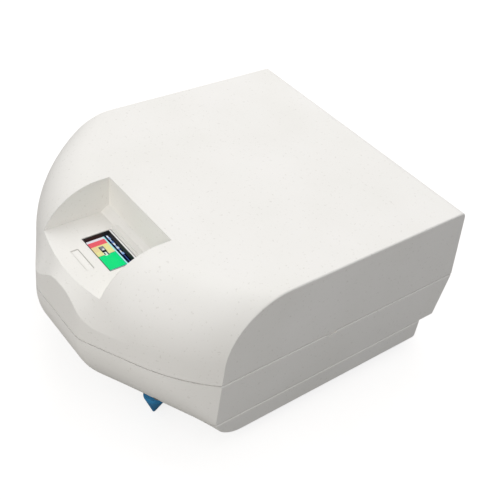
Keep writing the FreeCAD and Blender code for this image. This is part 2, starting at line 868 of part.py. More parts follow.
def front_board_sockets():
    """Sockets for the sensor's flex, the screen's flex and the ribbon cable."""
    x = sensor_socket_x()
    sensor = block(x, key_y, front_board_top, sensor_socket_size)
    slot = (flex_thick + flex_play, flex_width + sensor_slot_play, sensor_socket_size[2])
    sensor = sensor.cut(block(x, key_y, front_board_top + flex_seat, slot))
    rear = screen_flex_drop()
    screen = block(0, rear, front_board_top, screen_socket_size)
    slot = (screen_flex_width + flex_play, flex_thick + flex_play, screen_socket_size[2])
    screen = screen.cut(block(0, rear, front_board_top + flex_seat, slot))
    wide, deep = ribbon_width + 2 * ribbon_socket_wall, ribbon_thick + 2 * ribbon_socket_side
    high = ribbon_socket_high
    ribbon = block(0, ribbon_top(), front_board_under - high, (wide, deep, high))
    ribbon = ribbon.cut(block(0, ribbon_top(), front_board_under - high - 1,
                              (ribbon_width + wire_play, ribbon_thick + wire_play, high)))
    return Part.makeCompound([sensor, screen, ribbon])


def front_board_screws():
    length = floor_under - front_board_under - 0.8
    return Part.makeCompound([screw(x, y, front_board_under, length, small_screw, *small_head)
                              for x, y in board_post_spots()])


# ---------- main board ----------

def main_board():
    wide = main_board_width / 2
    board = box(-wide, wide, main_board_front, main_board_back, main_board_z, main_board_top)
    for x, y in main_screw_spots():
        board = board.cut(rod(x, y, main_board_z - 1, main_board_top + 1, board_screw + hole_play))
    return board


def main_board_screws():
    return Part.makeCompound([screw_down(x, y, main_board_top, board_screw_length, board_screw,
                                         *board_head) for x, y in main_screw_spots()])


def socket_box(x, size):
    return block(x, socket_face() - size[1] / 2, main_board_top, size)


def mouth(x, size, z):
    wide, deep, high = size
    return box(x - wide / 2, x + wide / 2, socket_face() - deep, socket_face() + 1, z, z + high)


def network_socket():
    hollow = mouth(network_x, network_mouth, main_board_top + network_sill)
    key_slot = mouth(network_x, (6.0, network_mouth[1] * 0.6, network_mouth[2] + 1.6),
                     main_board_top + network_sill)
    return socket_box(network_x, network_size).cut(hollow).cut(key_slot)


def usb_socket():
    sill = (usb_size[2] - usb_mouth[2]) / 2
    tongue_z = main_board_top + (usb_size[2] - usb_tongue[2]) / 2
    shell = socket_box(usb_x, usb_size).cut(mouth(usb_x, usb_mouth, main_board_top + sill))
    root = socket_face() - usb_mouth[1] - 0.5
    tongue = box(usb_x - usb_tongue[0] / 2, usb_x + usb_tongue[0] / 2, root, root + usb_tongue[1],
                 tongue_z, tongue_z + usb_tongue[2])
    return shell.fuse(tongue)


def along_y(x, z, y0, y1, diameter):
    return Part.makeCylinder(diameter / 2, y1 - y0, V(x, y0, z), V(0, 1, 0))


def power_inlet():
    z = main_board_top + inlet_axis
    bore = along_y(inlet_x, z, socket_face() - inlet_depth, socket_face() + 1, inlet_bore)
    return socket_box(inlet_x, inlet_size).cut(bore)


def inlet_pin_piece():
    z = main_board_top + inlet_axis
    pin = along_y(inlet_x, z, socket_face() - inlet_depth, socket_face() - 1.0, inlet_pin)
    tip = [e for e in pin.Edges if e.CenterOfMass.y > socket_face() - 1.01 and e.Closed]
    return pin.makeFillet(inlet_pin * 0.35, tip)


def processor_chip():
    chip = block(0, chip_y, main_board_top, (chip_size, chip_size, chip_height))
    edges = [e for e in chip.Edges if abs(e.CenterOfMass.z - main_board_top - chip_height) < 1e-6]
    return chip.makeChamfer(0.2, edges)


def memory_chips():
    gap = memory_size[1] + 4
    return Part.makeCompound([block(memory_x, chip_y + side * gap / 2, main_board_top, memory_size)
                              for side in (-1, 1)])


def capacitors():
    cans = []
    for index in range(3):
        x = inlet_x + (index - 1) * capacitor_pitch
        can = rod(x, capacitor_y, main_board_top, main_board_top + capacitor_height, capacitor_diameter)
        cans.append(can.makeFillet(0.5, [can.Edges[0], can.Edges[2]]))
    return Part.makeCompound(cans)


def buzzer():
    x, y = buzzer_spot
    can = rod(x, y, main_board_top, main_board_top + buzzer_height, buzzer_diameter)
    top = main_board_top + buzzer_height
    return can.cut(rod(x, y, top - 2, top + 1, 2.0))


def cell_holder():
    x, y = cell_spot
    outer = cell_diameter + 2 * (holder_wall + 0.1)
    high = holder_floor + cell_thick * 0.8
    ring = rod(x, y, main_board_top, main_board_top + high, outer)
    ring = ring.cut(rod(x, y, main_board_top + holder_floor, main_board_top + high + 1,
                        cell_diameter + 0.2))
    return ring.cut(box(x - 4, x + 4, y - outer, y,
                        main_board_top + holder_floor, main_board_top + high + 1))


def coin_cell():
    x, y = cell_spot
    base = main_board_top + holder_floor
    can = rod(x, y, base, base + cell_thick, cell_diameter)
    return can.makeFillet(0.4, [can.Edges[0], can.Edges[2]])


def ribbon_header():
    body = block(0, header_y, main_board_top, header_size)
    slot = block(0, header_y, main_board_top + header_wall,
                 (ribbon_width + wire_play, ribbon_thick + wire_play, header_size[2]))
    return body.cut(slot)


def battery_socket():
    body = block(battery_socket_x, header_y, main_board_top, battery_socket_size)
    for side in (-1, 1):
        x = battery_socket_x + side * wire_pitch / 2
        body = body.cut(rod(x, header_y, main_board_top + header_wall,
                            main_board_top + header_size[2] + 1, wire_diameter + wire_play))
    return body


# ---------- wiring ----------

def ribbon_cable():
    high = front_board_under - ribbon_reach
    bend_z = main_board_top + header_size[2] + ribbon_low
    points = [(0, ribbon_top(), high), (0, ribbon_top(), bend_z + ribbon_high), (0, header_y, bend_z),
              (0, header_y, main_board_top + header_wall)]
    return swept_strip(points, ribbon_bend, ribbon_width, ribbon_thick)


def battery_lead():
    """Two wires from the pack's end up into the battery socket."""
    wires = []
    end = battery_length / 2
    level = tray_floor + battery_height / 2
    rise = main_board_top + header_size[2] + lead_rise
    out_y = battery_y + battery_width / 2 - lead_inset
    for side in (-1, 1):
        shift = side * wire_pitch / 2
        x = battery_socket_x + shift
        points = [(end, out_y - shift, level), (x, out_y - shift, level), (x, out_y - shift, rise),
                  (x, header_y, rise), (x, header_y, main_board_top + header_wall)]
        path = rounded_path(points, wire_bend)
        ring = Part.Wire(Part.makeCircle(wire_diameter / 2, V(*points[0]), V(1, 0, 0)))
        wires.append(path.makePipeShell([ring], True, True))
    return Part.makeCompound(wires)


# ---------- battery ----------

def battery_pack():
    half = battery_length / 2
    pack = box(-half, half, battery_y - battery_width / 2, battery_y + battery_width / 2,
               tray_floor, tray_floor + battery_height)
    long_edges = [e for e in pack.Edges if abs(e.Length - battery_length) < 1e-6]
    return pack.makeFillet(battery_height / 2 - 0.6, long_edges)


def battery_strap():
    """Bent steel band over the pack, screwed down at both ends."""
    leg = battery_length / 2 + battery_play + holder_wall + 0.2
    top = tray_floor + battery_height + 0.2
    seat = tray_floor + strap_seat
    far = strap_spots()[1][0] + strap_foot / 2
    half = strap_width / 2
    outer = box(-leg - strap_thick, leg + strap_thick, battery_y - half, battery_y + half,
                seat, top + strap_thick)
    band = outer.cut(box(-leg, leg, battery_y - half - 1, battery_y + half + 1, seat - 1, top))
    feet = pair(box(leg, far, battery_y - half, battery_y + half, seat, seat + strap_thick))
    band = band.multiFuse(feet).removeSplitter()
    for x, y in strap_spots():
        band = band.cut(rod(x, y, seat - 1, seat + strap_thick + 1, board_screw + hole_play))
    return band


def battery_strap_screws():
    seat = tray_floor + strap_seat + strap_thick
    length = strap_seat + strap_thick - 0.5
    return Part.makeCompound([screw_down(x, y, seat, length, board_screw, *board_head)
                              for x, y in strap_spots()])


# ---------- case screws and feet ----------

def front_case_screws():
    length = boss_foot + bite - pocket_top
    return Part.makeCompound([screw(x, y, pocket_top, length, case_screw,
                                    pocket - 2 * head_play, case_head_height)
                              for x, y in front_boss_spots()])


def rear_case_screws():
    length = boss_foot + bite - counterbore_top
    return Part.makeCompound([screw(x, y, counterbore_top, length, case_screw,
                                    counterbore - 2 * head_play, case_head_height)
                              for x, y in rear_boss_spots()])


def thread_inserts():
    rings = []
    for x, y in front_boss_spots() + rear_boss_spots():
        ring = rod(x, y, boss_foot, boss_foot + insert_length, insert_diameter)
        bore = rod(x, y, boss_foot - 1, boss_foot + insert_length + 1,
                   case_screw * core_share + pilot_play)
        rings.append(ring.cut(bore))
    return Part.makeCompound(rings)


def foot(x, y):
    """Pointed rubber foot: cone, collar, and a push-in stem with a bulb."""
    cone = Part.makeCone(foot_tip / 2, foot_diameter / 2, foot_cone, V(x, y, 0))
    collar = rod(x, y, foot_cone, foot_seat, foot_diameter)
    neck = foot_seat + wall + 0.1
    stem = rod(x, y, foot_seat, neck, foot_stem)
    bulb = Part.makeCone(foot_bulb / 2, foot_stem / 2 - 0.5, 2.0, V(x, y, neck))
    return cone.multiFuse([collar, stem, bulb]).removeSplitter()


# ---------- build ----------

def pieces():
    nodes = {
        "upper_shell": upper_shell(),
        "lower_shell": lower_shell(),
        "base_tray": base_tray(),
        "window_gasket": window_gasket(),
        "window_trim": window_trim(),
        "display_lens": display_lens(),
        "display_panel": display_panel(),
        "display_can": display_can(),
        "display_pad": display_pad(),
        "display_flex": display_flex(),
        "finger_key": finger_key(),
        "sensor_module": sensor_module(),
        "sensor_flex": sensor_flex(),
        "key_switch": key_switch(),
        "switch_plunger": switch_plunger(),
        "switch_dome": switch_dome(),
        "front_board": front_board(),
        "front_board_sockets": front_board_sockets(),
        "front_board_screws": front_board_screws(),
        "main_board": main_board(),
        "main_board_screws": main_board_screws(),
        "network_socket": network_socket(),
        "usb_socket": usb_socket(),
        "power_inlet": power_inlet(),
        "inlet_pin": inlet_pin_piece(),
        "processor_chip": processor_chip(),
        "memory_chips": memory_chips(),
        "capacitors": capacitors(),
        "buzzer": buzzer(),
        "cell_holder": cell_holder(),
        "coin_cell": coin_cell(),
        "ribbon_header": ribbon_header(),
        "battery_socket": battery_socket(),
        "ribbon_cable": ribbon_cable(),
        "battery_lead": battery_lead(),
        "battery_pack": battery_pack(),
        "battery_strap": battery_strap(),
        "battery_strap_screws": battery_strap_screws(),
        "front_case_screws": front_case_screws(),
        "rear_case_screws": rear_case_screws(),
        "thread_inserts": thread_inserts(),
    }
    for name, (x, y) in foot_spots().items():
        nodes[name] = foot(x, y)
    return nodes


os.makedirs("parts", exist_ok=True)
for name, shape in pieces().items():
    shape.exportStep("parts/" + name + ".step")
    bounds = shape.BoundBox
    print(name, "solids", len(shape.Solids), "valid", shape.isValid(),
          "size", round(bounds.XLength, 2), round(bounds.YLength, 2), round(bounds.ZLength, 2))
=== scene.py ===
import bpy
import bmesh
import math
from mathutils import Matrix, Vector


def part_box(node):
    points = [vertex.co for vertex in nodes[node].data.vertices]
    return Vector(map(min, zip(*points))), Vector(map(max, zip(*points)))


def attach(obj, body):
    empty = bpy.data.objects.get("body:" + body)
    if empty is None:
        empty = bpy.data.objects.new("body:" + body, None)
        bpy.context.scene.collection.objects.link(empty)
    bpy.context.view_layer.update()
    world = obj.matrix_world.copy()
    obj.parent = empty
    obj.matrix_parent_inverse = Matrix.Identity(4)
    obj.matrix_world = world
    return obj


# fingerprint scanner terminal: the CAD pieces get their finishes here, and the
# contacts that are too fine for the solids are added as meshes

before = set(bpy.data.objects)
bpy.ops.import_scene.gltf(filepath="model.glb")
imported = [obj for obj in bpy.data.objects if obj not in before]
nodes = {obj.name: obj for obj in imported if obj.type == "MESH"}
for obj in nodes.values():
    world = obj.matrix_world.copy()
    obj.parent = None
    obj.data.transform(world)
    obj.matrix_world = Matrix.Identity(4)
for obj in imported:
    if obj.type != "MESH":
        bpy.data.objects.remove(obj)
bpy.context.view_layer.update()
mm = 0.001
print("frame loaded", len(nodes), "nodes")


# colours and node helper

def toLinear(hexColour, alpha=1.0):
    parts = [int(hexColour[i:i + 2], 16) / 255 for i in (1, 3, 5)]
    return tuple(c / 12.92 if c <= 0.04045 else ((c + 0.055) / 1.055) ** 2.4 for c in parts) + (alpha,)


def addNode(tree, kind, inputs=None, stops=None, **settings):
    node = tree.nodes.new("ShaderNode" + kind)
    for name, value in settings.items():
        setattr(node, name, value)
    for index, (place, colour) in enumerate(stops or ()):   # a colour ramp's two ends
        node.color_ramp.elements[index].position = place
        node.color_ramp.elements[index].color = toLinear(colour)
    for name, value in (inputs or {}).items():
        if isinstance(value, bpy.types.NodeSocket):
            tree.links.new(value, node.inputs[name])
        else:
            node.inputs[name].default_value = value
    return node


# a finish's object coordinates are metres in the frame, so a pattern's scale is 1 / its real size
def newMaterial(name):
    made = bpy.data.materials.new(name)
    made.use_nodes = True
    tree = made.node_tree
    tree.nodes.clear()
    return made, tree, addNode(tree, "OutputMaterial")


# injection-moulded plastics: an even colour, a fine spark-eroded grain that breaks
# up the highlight, and a faint cloudiness where the melt cooled

def mouldedPlastic(name, look):
    made, tree, output = newMaterial(name)
    place = addNode(tree, "TexCoord").outputs["Object"]
    cloud = addNode(tree, "TexNoise", {"Vector": place, "Scale": 1 / (look["cloudSize"] * mm), "Detail": 3.0})
    speck = addNode(tree, "TexNoise", {"Vector": place, "Scale": 1 / (look["speckSize"] * mm), "Detail": 1.0})
    base = addNode(tree, "ValToRGB", {"Fac": cloud.outputs["Fac"]},
                   zip(look["cloudRange"], (look["colour"], look["cloudColour"])))
    spots = addNode(tree, "ValToRGB", {"Fac": speck.outputs["Fac"]},
                    zip(look["speckRange"], (look["speckColour"], "#FFFFFF")))
    colour = addNode(tree, "MixRGB", {"Fac": look["speckStrength"], "Color1": base.outputs["Color"],
                                      "Color2": spots.outputs["Color"]}, blend_type="MULTIPLY")
    grain = addNode(tree, "TexNoise", {"Vector": place, "Scale": 1 / (look["grainSize"] * mm), "Detail": 2.0})
    edge = addNode(tree, "Bevel", {"Radius": look["edgeRadius"] * mm}, samples=4)
    bump = addNode(tree, "Bump", {"Height": grain.outputs["Fac"], "Strength": look["grainStrength"],
                                  "Distance": look["grainDepth"] * mm, "Normal": edge.outputs["Normal"]})
    rough = addNode(tree, "MapRange", {"Value": grain.outputs["Fac"],
                                       "To Min": look["roughness"] - look["roughSpread"],
                                       "To Max": look["roughness"] + look["roughSpread"]})
    shader = addNode(tree, "BsdfPrincipled", {"Base Color": colour.outputs["Color"],
                                              "Roughness": rough.outputs["Result"], "IOR": look["ior"],
                                              "Normal": bump.outputs["Normal"]})
    tree.links.new(shader.outputs["BSDF"], output.inputs["Surface"])
    return made


# ABS for the case: warm white, matt; the real grain is 0.15 mm, drawn at 0.9 mm so that it shows
caseLook = {"colour": "#EFEDE9", "cloudColour": "#EBE9E4", "cloudSize": 45.0, "speckSize": 1.3,
            "cloudRange": (0.35, 0.7), "speckColour": "#B9B4AA", "speckStrength": 0.2,
            "speckRange": (0.24, 0.34), "grainSize": 0.9, "grainDepth": 0.05, "grainStrength": 0.25,
            "edgeRadius": 0.5, "roughness": 0.6, "roughSpread": 0.04, "ior": 1.53}
# the finger key: the same ABS from a polished tool, so it is a little smoother
keyLook = {**caseLook, "colour": "#EDEBE7", "cloudColour": "#EAE8E3", "roughness": 0.42,
           "grainStrength": 0.12, "edgeRadius": 0.12, "speckStrength": 0.15}
# black ABS of the screen's frame: dull, greyer only where the grain catches light
frameLook = {**caseLook, "colour": "#08080A", "cloudColour": "#0C0C0F", "speckColour": "#060607",
             "roughness": 0.6, "edgeRadius": 0.1}
# glossy white ABS of the trim bar
trimLook = {**caseLook, "colour": "#FBFBFB", "cloudColour": "#F7F7F7", "roughness": 0.28,
            "grainStrength": 0.05, "edgeRadius": 0.1, "speckStrength": 0.1}
# glass-filled nylon and PBT: dull black with fine pale fibre ends, 0.3 mm drawn at 0.6 mm
nylonLook = {**caseLook, "colour": "#1B1B1D", "cloudColour": "#232326", "speckColour": "#101011",
             "grainSize": 0.6, "roughness": 0.6, "edgeRadius": 0.1}
pbtLook = {**nylonLook, "colour": "#151516", "cloudColour": "#1A1A1C", "roughness": 0.48}
# natural nylon of the headers: creamy, slightly waxy
creamLook = {**caseLook, "colour": "#E4DCC3", "cloudColour": "#DBD2B6", "roughness": 0.45, "edgeRadius": 0.1}
# moulded epoxy of the chips: dark grey, sandy
epoxyLook = {**nylonLook, "colour": "#222224", "cloudColour": "#29292B", "roughness": 0.7}
# PVC insulation: soft satin, nearly even
wireRedLook = {**caseLook, "colour": "#B3241E", "cloudColour": "#A31F1A", "speckStrength": 0.0,
               "grainStrength": 0.05, "edgeRadius": 0.05, "roughness": 0.38}
# heat-shrink sleeve: dark blue, thin and shiny
sleeveLook = {**wireRedLook, "colour": "#2B4C86", "cloudColour": "#243F70", "roughness": 0.3}
# moulded silicone rubber of the feet: strong blue, soft sheen, dusty in patches
footLook = {**caseLook, "colour": "#2E7FB0", "cloudColour": "#256C9B", "cloudSize": 6.0,
            "speckColour": "#1B4F74", "speckSize": 0.8, "roughness": 0.55, "ior": 1.41, "edgeRadius": 0.4}

plastics = {
    "absCaseSparkEroded": caseLook, "absKeySmooth": keyLook, "absFrameBlack": frameLook,
    "absTrimGloss": trimLook, "nylonGlassFilled": nylonLook, "pbtSocketBlack": pbtLook,
    "nylonHeaderNatural": creamLook, "epoxyChipMoulded": epoxyLook, "pvcWireRed": wireRedLook,
    "pvcBatterySleeve": sleeveLook, "siliconeFootBlue": footLook,
}
finishes = {name: mouldedPlastic(name, look) for name, look in plastics.items()}
print("plastics made", len(plastics))


# sheet and plated metals: fine drawn lines from rolling, broken by a soft stain

def rolledMetal(name, look):
    made, tree, output = newMaterial(name)
    place = addNode(tree, "TexCoord").outputs["Object"]
    stretched = addNode(tree, "Mapping", {"Vector": place, "Scale": look["lineStretch"]})
    lines = addNode(tree, "TexNoise", {"Vector": stretched.outputs["Vector"],
                                       "Scale": 1 / (look["lineSize"] * mm), "Detail": 2.0})
    stain = addNode(tree, "TexNoise", {"Vector": place, "Scale": 1 / (look["stainSize"] * mm)})
    colour = addNode(tree, "ValToRGB", {"Fac": stain.outputs["Fac"]},
                     [(0.4, look["colour"]), (0.65, look["stainColour"])])
    rough = addNode(tree, "MapRange", {"Value": lines.outputs["Fac"],
                                       "To Min": look["roughness"] - look["roughSpread"],
                                       "To Max": look["roughness"] + look["roughSpread"]})
    bump = addNode(tree, "Bump", {"Height": lines.outputs["Fac"], "Strength": look["lineStrength"],
                                  "Distance": look["lineDepth"] * mm})
    shader = addNode(tree, "BsdfPrincipled", {"Base Color": colour.outputs["Color"], "Metallic": 1.0,
                                              "Roughness": rough.outputs["Result"],
                                              "Normal": bump.outputs["Normal"]})
    tree.links.new(shader.outputs["BSDF"], output.inputs["Surface"])
    return made


# stretch squeezes the noise along one axis, so the lines run along the other two
tinnedLook = {"colour": "#C3C4C5", "stainColour": "#A9AAAB", "stainSize": 5.0, "lineSize": 0.6,
              "lineStretch": (1.0, 0.08, 1.0), "lineStrength": 0.3, "lineDepth": 0.02,
              "roughness": 0.36, "roughSpread": 0.08}
metals = {
    "steelTinnedSheet": tinnedLook,
    "steelZincPlated": {**tinnedLook, "colour": "#B4B3AD", "stainColour": "#98989A", "stainSize": 3.0,
                        "lineStretch": (1.0, 1.0, 1.0), "roughness": 0.42},
    "steelSpringStamped": {**tinnedLook, "colour": "#CBCBC9", "roughness": 0.3},
    "steelZincStrap": {**tinnedLook, "colour": "#BDBEBE", "lineStretch": (0.05, 1.0, 1.0)},
    "steelNickelPlated": {**tinnedLook, "colour": "#D6D3CC", "stainColour": "#C6C2BA", "roughness": 0.2,
                          "lineStrength": 0.1},
    "aluminiumSleevedCan": {**tinnedLook, "colour": "#CDCFD1", "roughness": 0.33,
                            "lineStretch": (1.0, 1.0, 0.1)},
    "brassKnurled": {**tinnedLook, "colour": "#CDA657", "stainColour": "#AE8741", "lineSize": 0.5,
                     "lineStretch": (1.0, 1.0, 0.1), "lineStrength": 0.9, "roughness": 0.35},
    "bronzeGoldPlated": {**tinnedLook, "colour": "#E0B65A", "stainColour": "#C99B41", "roughness": 0.25,
                         "lineStrength": 0.05},
}
finishes.update({name: rolledMetal(name, look) for name, look in metals.items()})
print("metals made", len(metals))


# glass-fibre board under solder mask: the weave shows faintly through the green,
# crossed by the lighter lines of the tracks; the threads lie 0.5 mm apart, drawn at 2 mm
boardLook = {"mask": "#1D5B39", "trackOver": "#267049", "threadSpacing": 2.0, "threadDepth": 0.03,
             "threadStrength": 0.2, "trackSpacing": 3.2, "trackWidth": 0.06, "roughness": 0.32, "ior": 1.55}
waveFactor = 3.14   # a wave texture's scale is about 1 / (3.14 * the distance between its bands)


def glassFibreBoard(name, look):
    made, tree, output = newMaterial(name)
    place = addNode(tree, "TexCoord").outputs["Object"]
    scale = 1 / (look["threadSpacing"] * waveFactor * mm)
    weave = addNode(tree, "TexWave", {"Vector": place, "Scale": scale}, bands_direction="X")
    across = addNode(tree, "TexWave", {"Vector": place, "Scale": scale}, bands_direction="Y")
    cloth = addNode(tree, "Math", {0: weave.outputs["Fac"], 1: across.outputs["Fac"]}, operation="MULTIPLY")
    tracks = addNode(tree, "TexBrick", {"Vector": place, "Scale": 1 / (look["trackSpacing"] * mm),
                                        "Color1": toLinear(look["mask"]), "Color2": toLinear(look["mask"]),
                                        "Mortar": toLinear(look["trackOver"]),
                                        "Mortar Size": look["trackWidth"]})
    bump = addNode(tree, "Bump", {"Height": cloth.outputs["Value"], "Strength": look["threadStrength"],
                                  "Distance": look["threadDepth"] * mm})
    shader = addNode(tree, "BsdfPrincipled", {"Base Color": tracks.outputs["Color"],
                                              "Roughness": look["roughness"], "IOR": look["ior"],
                                              "Normal": bump.outputs["Normal"]})
    tree.links.new(shader.outputs["BSDF"], output.inputs["Surface"])
    return made


finishes["boardSolderMasked"] = glassFibreBoard("boardSolderMasked", boardLook)

# closed-cell foam: dull dark grey with pinholes, darkened by painted shade in the hollows; 0.3 mm cells drawn
# at 0.7 mm
foamLook = {"colour": "#2B2B2D", "hole": "#101011", "cellSize": 0.7, "cellDepth": 0.2,
            "cellStrength": 0.6, "roughness": 0.9}


def closedCellFoam(name, look):
    made, tree, output = newMaterial(name)
    place = addNode(tree, "TexCoord").outputs["Object"]
    cells = addNode(tree, "TexVoronoi", {"Vector": place, "Scale": 1 / (look["cellSize"] * mm)})
    # the cells' centres take the pinholes' painted shade, a darker grey than the foam
    colour = addNode(tree, "ValToRGB", {"Fac": cells.outputs["Distance"]},
                     [(0.1, look["hole"]), (0.4, look["colour"])])
    bump = addNode(tree, "Bump", {"Height": cells.outputs["Distance"],
                                  "Strength": look["cellStrength"], "Distance": look["cellDepth"] * mm})
    shader = addNode(tree, "BsdfPrincipled", {"Base Color": colour.outputs["Color"],
                                              "Roughness": look["roughness"],
                                              "Normal": bump.outputs["Normal"]})
    tree.links.new(shader.outputs["BSDF"], output.inputs["Surface"])
    return made


finishes["foamClosedCell"] = closedCellFoam("foamClosedCell", foamLook)

# flat films and ribbons: parallel conductors show as bands along the strip; on the amber film the darker
# bands are the bare film between the copper lines, on the grey ribbon they are painted shade in the grooves
# between the wires
filmLook = {"colour": "#B9741C", "between": "#8A5212", "pitch": 0.5, "axis": "X", "ridgeDepth": 0.15,
            "ridgeStrength": 0.5, "roughness": 0.28, "ior": 1.7}
# the ribbon's darker colour between its wires is painted shade in the grooves
ribbonLook = {**filmLook, "colour": "#9C9C9E", "between": "#6F6F72", "pitch": 1.27, "roughness": 0.45,
              "ior": 1.53}


def bandedStrip(name, look):
    made, tree, output = newMaterial(name)
    place = addNode(tree, "TexCoord").outputs["Object"]
    bands = addNode(tree, "TexWave", {"Vector": place, "Scale": 1 / (look["pitch"] * waveFactor * mm)},
                    bands_direction=look["axis"])
    # the colour between the bands: bare film on the amber films, painted shade in the grooves of the grey
    # ribbon
    colour = addNode(tree, "ValToRGB", {"Fac": bands.outputs["Fac"]},
                     [(0.15, look["between"]), (0.5, look["colour"])])
    bump = addNode(tree, "Bump", {"Height": bands.outputs["Fac"], "Strength": look["ridgeStrength"],
                                  "Distance": look["ridgeDepth"] * mm})
    shader = addNode(tree, "BsdfPrincipled", {"Base Color": colour.outputs["Color"],
                                              "Roughness": look["roughness"],
                                              "IOR": look["ior"], "Normal": bump.outputs["Normal"]})
    tree.links.new(shader.outputs["BSDF"], output.inputs["Surface"])
    return made


finishes["polyimideFilmAmber"] = bandedStrip("polyimideFilmAmber", filmLook)
finishes["polyimideFilmKey"] = bandedStrip("polyimideFilmKey", {**filmLook, "axis": "Y"})
finishes["pvcRibbonGrey"] = bandedStrip("pvcRibbonGrey", ribbonLook)


# coated sensor face: deep black, glassy, with a barely visible mottle
sensorLook = {"colour": "#141417", "mottle": "#1C1C21", "mottleSize": 2.0, "roughness": 0.15, "ior": 1.6}


def coatedSensor(name, look):
    made, tree, output = newMaterial(name)
    place = addNode(tree, "TexCoord").outputs["Object"]
    mottle = addNode(tree, "TexNoise", {"Vector": place, "Scale": 1 / (look["mottleSize"] * mm)})
    colour = addNode(tree, "ValToRGB", {"Fac": mottle.outputs["Fac"]},
                     [(0.4, look["colour"]), (0.6, look["mottle"])])
    shader = addNode(tree, "BsdfPrincipled", {"Base Color": colour.outputs["Color"],
                                              "Roughness": look["roughness"],
                                              "IOR": look["ior"]})
    tree.links.new(shader.outputs["BSDF"], output.inputs["Surface"])
    return made


finishes["sensorCoated"] = coatedSensor("sensorCoated", sensorLook)

# clear acrylic lens, cast and flame-polished: see-through with a sharp surface gloss,
# under a thin anti-reflection coat that leaves only a faint glare
lensLook = {"ior": 1.49, "tint": "#F8FBFC", "gloss": "#3C3C40", "roughness": 0.04, "roughSpread": 0.08,
            "smearSize": 9.0}


def castAcrylic(name, look):
    made, tree, output = newMaterial(name)
    place = addNode(tree, "TexCoord").outputs["Object"]
    smear = addNode(tree, "TexNoise", {"Vector": place, "Scale": 1 / (look["smearSize"] * mm)})
    rough = addNode(tree, "MapRange", {"Value": smear.outputs["Fac"], "To Min": look["roughness"],
                                       "To Max": look["roughness"] + look["roughSpread"]})
    clear = addNode(tree, "BsdfTransparent", {"Color": toLinear(look["tint"])})
    gloss = addNode(tree, "BsdfGlossy", {"Color": toLinear(look["gloss"]),
                                         "Roughness": rough.outputs["Result"]})
    angle = addNode(tree, "Fresnel", {"IOR": look["ior"]})
    shader = addNode(tree, "MixShader", {0: angle.outputs["Fac"], 1: clear.outputs["BSDF"],
                                         2: gloss.outputs["BSDF"]})
    tree.links.new(shader.outputs["Shader"], output.inputs["Surface"])
    return made


finishes["acrylicCastClear"] = castAcrylic("acrylicCastClear", lensLook)


# the lit panel: plain patches of colour, painted one over the other; each is across, ahead,
# wide, deep (mm from the left and rear edges of the gasket's opening) and its colour
screenLook = {
    "ground": "#F3EEF5",
    "bands": [(1.95, 6.9, 3.1, 9.0, "#FB6672"), (6.9, 6.9, 6.8, 9.0, "#F9F0A4"),
              (5.4, 9.8, 3.6, 3.2, "#FAE2A6"), (15.3, 6.9, 10.2, 9.2, "#0FA287"),
              (15.3, 6.9, 9.4, 8.4, "#02F088")],
    "edges": [(10.0, 2.05, 24.0, 0.8, "#B4F4F4"), (10.0, 1.2, 24.0, 1.1, "#040C30"),
              (10.0, -1.75, 24.0, 4.9, "#090A12"), (6.0, 0.4, 15.0, 0.6, "#9DBDEB"),
              (17.0, 0.4, 7.0, 0.35, "#4C66A8")],
    "pointer": [(5.9, 6.7, 3.0, 2.5, "#8A8B90"), (6.0, 7.6, 2.6, 0.5, "#4C4D52"),
                (6.6, 6.5, 1.0, 0.9, "#F4F5F6"), (8.0, 6.7, 1.4, 2.3, "#131315"),
                (9.8, 6.7, 2.4, 2.2, "#EAF4EC"), (9.8, 6.0, 2.6, 0.55, "#151616"),
                (9.6, 7.4, 1.6, 0.5, "#1B1C1C")],
    "streakCount": 10, "streakPitch": 1.45, "streakRear": 0.55, "streakDeep": 0.75, "streakChange": 0.35,
    "streakTurn": 2.3, "streakColours": ["#F2F6FC", "#9DBDEB", "#D8E6F8", "#7A97D4"],
    "blockCount": 7, "blockPitch": 3.1, "blockStart": 0.8, "blockRear": -0.9, "blockWide": 1.705,
    "blockDeep": 0.8, "blockColour": "#24245F",
    "glass": "#050506", "strength": 1.0, "glassRoughness": 0.2, "dotPitch": 0.5, "dotShade": "#F4F4F4",
}


def screenPatches(look):
    patches = look["bands"] + look["edges"]
    # ragged pale streaks along the dark header, then dim blue blocks behind them
    for index in range(look["streakCount"]):
        colour = look["streakColours"][index % len(look["streakColours"])]
        deep = look["streakDeep"] + look["streakChange"] * math.sin(index * look["streakTurn"])
        patches.append((index * look["streakPitch"], look["streakRear"] - deep / 4, look["streakPitch"],
                        deep, colour))
    for index in range(look["blockCount"]):
        patches.append((index * look["blockPitch"] + look["blockStart"], look["blockRear"],
                        look["blockWide"], look["blockDeep"], look["blockColour"]))
    return patches + look["pointer"]


